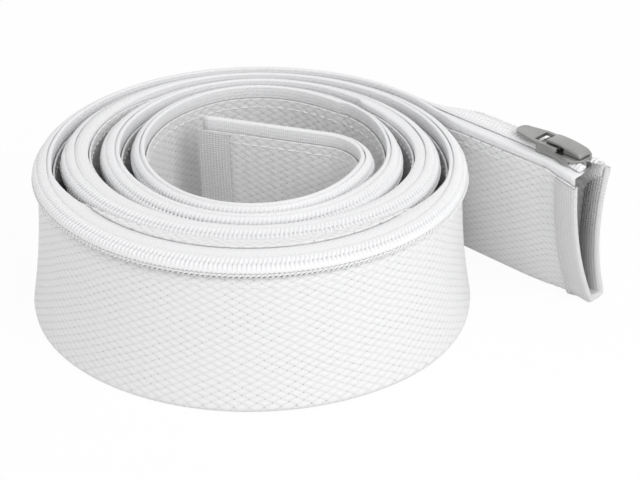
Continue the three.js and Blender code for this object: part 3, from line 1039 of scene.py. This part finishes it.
def coil_cord(name, stations, side, material):
    """The cord inside a half coil, which the teeth are wound over."""
    rings = []
    maps = []
    for station in stations:
        middle, ahead, normal = chain_axes(station, side)
        ring = [ahead * (reach + station.open) + normal * (COIL_BASE + lift) for reach, lift in CORD_OUTLINE]
        rings.append(in_space(station, np.array(ring) + (0.0, middle)))
        maps.append([(station.run, reach) for reach, _ in CORD_OUTLINE])
    return loft_strip(name, rings, maps, material)


class SLEEVE_OT_coils(Operator):
    """Build the teeth of both half coils"""

    bl_idname = "sleeve.coils"
    bl_label = "Coil teeth"

    def execute(self, context):
        sizes = context.scene.sleeve_zipper_sizes
        material = coil_material(sizes)
        stations = all_stations(1.4)
        pitch = sizes.pitch / MM
        radius = sizes.wire_radius / MM
        for name, side, node in (
            ("coil_teeth_outer", 1, "zipper_coil_outer"),
            ("coil_teeth_inner", -1, "zipper_coil_inner"),
        ):
            rail = chain_rail(stations, side, COIL_BASE - 0.15)
            if side < 0:
                rail = trimmed(rail, pitch / 2)
            coil = thread_along(name, rail, pitch, TOOTH_BEND, radius, 6, 6, material)
            dress(coil, "sleeve", "coil", node)
            cord = coil_cord(name.replace("teeth", "cord"), stations, side, material)
            dress(cord, "sleeve", "coil")
        return {"FINISHED"}


def binding_rings(station_at, band, arcs_of):
    """Points of a folded band at each place round the wall, with its map in millimetres."""
    outer = FABRIC_OUT + SEAT_GAP
    inner = FABRIC_IN - SEAT_GAP
    thick = BINDING_THICK
    near, far = station_at(0.0), station_at(band)
    near_section, far_section = section_line(near), section_line(far)
    near_arcs, far_arcs = arcs_of(near_section), arcs_of(far_section)
    count = len(near_arcs)

    def skin(station, section, arcs, distance):
        return in_space(station, offset_line(points_at(section, arcs), distance))

    def fold(depth):
        edge = 0.25
        return (
            (band, outer),
            (band, outer + thick * 0.7),
            (band - edge, outer + thick),
            (band * 0.5, outer + thick),
            (0.2, outer + thick),
            (-BAND_ROLL * 0.55, outer + thick * 0.75),
            (-BAND_ROLL, (outer + inner) / 2 + 0.5),
            (-BAND_ROLL, (outer + inner) / 2 - 0.5),
            (-BAND_ROLL * 0.55, inner - thick * 0.75),
            (0.2, inner - thick),
            (depth, inner - thick),
            (depth, inner),
            (0.2, inner),
            (-SEAT_GAP, inner),
            (-SEAT_GAP, outer),
            (0.2, outer),
        )

    rings, maps = [], []
    for j in range(count):
        from_tape = min(near_arcs[j] - near_arcs[0], near_arcs[-1] - near_arcs[j])
        depth = 0.3 + (BAND_INSIDE - 0.3) * smooth_step(from_tape, 3, 9)
        ring, places = [], []
        for k, (from_end, distance) in enumerate(fold(depth)):
            a = skin(near, near_section, near_arcs, distance)[j]
            b = skin(far, far_section, far_arcs, distance)[j]
            ring.append(a + (b - a) * from_end / band)
            travelled = band - from_end if k < 7 else band + BAND_ROLL + (from_end + BAND_ROLL)
            places.append((travelled, near_arcs[j]))
        rings.append(np.array(ring))
        maps.append(np.array(places))
    return rings, maps


def fold_faces(rings):
    count = len(rings[0])
    faces = side_faces(len(rings), count)
    faces.append(tuple(range(count)))
    faces.append(tuple(range((len(rings) - 1) * count, len(rings) * count)))
    return faces


class SLEEVE_OT_bindings(Operator):
    """Build the bindings folded over both ends of the sleeve"""

    bl_idname = "sleeve.bindings"
    bl_label = "End bindings"

    def execute(self, context):
        sizes = context.scene.sleeve_binding_sizes
        edge = context.scene.sleeve_fabric_sizes.inner_edge / MM
        material = binding_material(sizes)
        for name, station_at, band, node in (
            ("mouth_binding_band", mouth_station, MOUTH_BAND, "mouth_binding"),
            ("inner_end_binding_band", end_station, END_BAND, "inner_end_binding"),
        ):
            arcs_of = lambda section: fabric_arcs(section, edge)
            rings, maps = binding_rings(station_at, band, arcs_of)
            vertices = np.vstack(rings)
            built = make_object(name, vertices, fold_faces(rings), material, np.vstack(maps))
            dress(built, "sleeve", "binding", node)
            around = arcs_of(section_line(station_at(0.0)))
            float(around[-1] - around[0]) * MM
        return {"FINISHED"}


class SLEEVE_OT_stitches(Operator):
    """Build the rows of stitches along the zipper"""

    bl_idname = "sleeve.stitches"
    bl_label = "Stitches"

    def execute(self, context):
        sizes = context.scene.sleeve_stitch_sizes
        material = thread_material(sizes)
        edge = context.scene.sleeve_fabric_sizes.inner_edge / MM
        stations = all_stations(MOUTH_BAND + 1.0)
        half = sizes.length / MM / 2
        radius = sizes.radius / MM
        stitch = ((-half, 0, -0.12), (0, 0, 0.42), (half, 0, -0.12))
        spacing = sizes.spacing / MM
        outer_row = lambda section: section.arcs["lip"] + 6.2
        inner_row = lambda section: section.arcs["end"] - edge - 3.4
        lip_row = lambda section: section.arcs["lip"] - 0.25
        rows = (
            ("stitches_outer_wall", outer_row, FABRIC_OUT, spacing, stitch, radius),
            ("stitches_inner_top", inner_row, FABRIC_OUT, spacing, stitch, radius),
            ("ticks_at_lip", lip_row, TAPE_THICK / 2, TICK_SPACING, TICK_BEND, TICK_RADIUS),
        )
        for name, arc_of, height, step, bend, thread in rows:
            rail = wall_rail(stations, arc_of, height)
            row = thread_along(name, rail, step, bend, thread, 4, 5, material)
            dress(row, "sleeve", "tape")
        return {"FINISHED"}


def bevelled_copy(node, name, width, material):
    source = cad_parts[node]
    mesh = source.data.copy()
    mesh.name = name
    mesh.materials.clear()
    mesh.materials.append(material)
    work = bmesh.new()
    work.from_mesh(mesh)
    bmesh.ops.remove_doubles(work, verts=work.verts, dist=2e-6)
    bmesh.ops.dissolve_limit(work, angle_limit=math.radians(1), verts=work.verts, edges=work.edges)
    work.to_mesh(mesh)
    work.free()
    built = bpy.data.objects.new(name, mesh)
    bpy.context.scene.collection.objects.link(built)
    modifier = built.modifiers.new("edges", "BEVEL")
    modifier.width = width
    modifier.segments = 2
    modifier.limit_method = "ANGLE"
    modifier.angle_limit = math.radians(35)
    bpy.context.view_layer.update()
    seen = built.evaluated_get(bpy.context.evaluated_depsgraph_get())
    finished = bpy.data.meshes.new_from_object(seen)
    built.modifiers.remove(modifier)
    built.data = finished
    finished.polygons.foreach_set("use_smooth", np.ones(len(finished.polygons), dtype=bool))
    finished.set_sharp_from_angle(angle=math.radians(40))
    return built


class SLEEVE_OT_slider(Operator):
    """Finish the metal of the slider, its cap, its spring and the pull"""

    bl_idname = "sleeve.slider"
    bl_label = "Slider and pull"

    def execute(self, context):
        sizes = context.scene.sleeve_metal_sizes
        material = metal_material(sizes)
        for node, body, width in (
            ("slider_body", "slider", sizes.edge),
            ("slider_cap", "slider", sizes.edge),
            ("lock_spring", "slider", sizes.edge * 0.25),
            ("pull_tab", "pull", sizes.edge * 1.2),
        ):
            piece = bevelled_copy(node, node + "_metal", width, material)
            dress(piece, body, "metal", node)
        return {"FINISHED"}


# The stage

CAMERA_FROM_ROLL = (479.9, -446.5, 388.8)  # from the middle of the roll at the table
CAMERA_PITCH = math.radians(29.329)
CAMERA_LENS = 118.87
SENSOR_WIDTH = 36
FLOOR_WHITE_SHARE = 0.94
LAMPS = (
    ("main_lamp", (0.72, -0.08, 0.64), 0.45, 3.3),
    ("side_lamp", (0.1, -0.8, 0.35), 0.6, 0.15),
)


def seen_directly(look):
    """1 on rays from the camera, mirrors and glass, and 0 on the light that reaches the object."""
    camera = look.add("ShaderNodeLightPath", output="Is Camera Ray")
    glossy = look.add("ShaderNodeLightPath", output="Is Glossy Ray")
    through = look.add("ShaderNodeLightPath", output="Is Transmission Ray")
    either = camera.math("MAXIMUM", camera, glossy)
    return look.add("ShaderNodeMath", {"operation": "MAXIMUM"}, {0: through, 1: either})


def add_lamp(name, place, size, power, target):
    data = bpy.data.lights.new(name, "AREA")
    data.size = size
    data.energy = power
    lamp = bpy.data.objects.new(name, data)
    lamp.location = place
    lamp.rotation_euler = (Vector(target) - Vector(place)).to_track_quat("-Z", "Y").to_euler()
    bpy.context.scene.collection.objects.link(lamp)


class SLEEVE_OT_stage(Operator):
    """Set the floor, the light and the camera"""

    bl_idname = "sleeve.stage"
    bl_label = "Stage"

    def execute(self, context):
        scene = context.scene
        sizes = scene.sleeve_stage_sizes
        low, high = (Vector(corner) for corner in CAD_BOX)
        middle = (low + high) / 2
        bpy.ops.mesh.primitive_plane_add(size=6, location=(0, 0, low.z - 0.0001))
        floor = context.object
        floor.name = "floor"
        look = Look("pale_floor")
        plain = look.add("ShaderNodeBsdfDiffuse", inputs={"Color": (0.9, 0.9, 0.9, 1)})
        white = look.add("ShaderNodeEmission", inputs={"Color": (1, 1, 1, 1), "Strength": 1.0})
        share = seen_directly(look) * FLOOR_WHITE_SHARE
        mixed = look.add("ShaderNodeMixShader", inputs={0: share, 1: plain, 2: white})
        look.add("ShaderNodeOutputMaterial", inputs={0: mixed})
        floor.data.materials.append(look.material)
        self.light(scene, sizes, middle)
        self.camera(scene)
        scene.view_settings.view_transform = "Standard"
        return {"FINISHED"}

    def light(self, scene, sizes, middle):
        look = Look("studio", bpy.data.worlds)
        scene.world = look.material
        sky = look.add("ShaderNodeBackground", inputs={"Color": (1, 1, 1, 1), "Strength": sizes.sky})
        white = look.add("ShaderNodeBackground", inputs={"Color": (1, 1, 1, 1), "Strength": 1.0})
        mixed = look.add("ShaderNodeMixShader", inputs={0: seen_directly(look), 1: sky, 2: white})
        look.add("ShaderNodeOutputWorld", inputs={0: mixed})
        for name, place, size, watts in LAMPS:
            add_lamp(name, middle + Vector(place), size, watts * sizes.lamp, middle)

    def camera(self, scene):
        data = bpy.data.cameras.new("camera")
        data.sensor_width = SENSOR_WIDTH
        data.lens = CAMERA_LENS
        data.clip_start = 0.01
        camera = bpy.data.objects.new("camera", data)
        camera.location = (np.array(CAMERA_FROM_ROLL) + SHIFT) * MM
        level = math.cos(CAMERA_PITCH)
        ahead = Vector((-level * math.sin(ROLL_TURN), level * math.cos(ROLL_TURN), -math.sin(CAMERA_PITCH)))
        camera.rotation_euler = ahead.to_track_quat("-Z", "Y").to_euler()
        scene.collection.objects.link(camera)
        scene.camera = camera


STEPS = (
    SLEEVE_OT_fabric,
    SLEEVE_OT_tapes,
    SLEEVE_OT_coils,
    SLEEVE_OT_bindings,
    SLEEVE_OT_stitches,
    SLEEVE_OT_slider,
    SLEEVE_OT_stage,
)


class SLEEVE_PT_panel(Panel):
    """Lists the sleeve's pieces and their sizes"""

    bl_idname = "SLEEVE_PT_panel"
    bl_label = "Cable sleeve"
    bl_space_type = "VIEW_3D"
    bl_region_type = "UI"
    bl_category = "Sleeve"

    def draw(self, context):
        for group in GROUPS:
            box = self.layout.box()
            sizes = getattr(context.scene, group)
            for name in sizes.__annotations__:
                box.prop(sizes, name)
        for step in STEPS:
            self.layout.operator(step.bl_idname)


def register():
    for name, group in GROUPS.items():
        bpy.utils.register_class(group)
        setattr(bpy.types.Scene, name, PointerProperty(type=group))
    for step in STEPS:
        bpy.utils.register_class(step)
    bpy.utils.register_class(SLEEVE_PT_panel)


def unregister():
    bpy.utils.unregister_class(SLEEVE_PT_panel)
    for step in reversed(STEPS):
        bpy.utils.unregister_class(step)
    for name, group in GROUPS.items():
        delattr(bpy.types.Scene, name)
        bpy.utils.unregister_class(group)


def main():
    register()
    for step in STEPS:
        group, name = step.bl_idname.split(".")
        getattr(getattr(bpy.ops, group), name)()


if __name__ == "__main__":
    main()
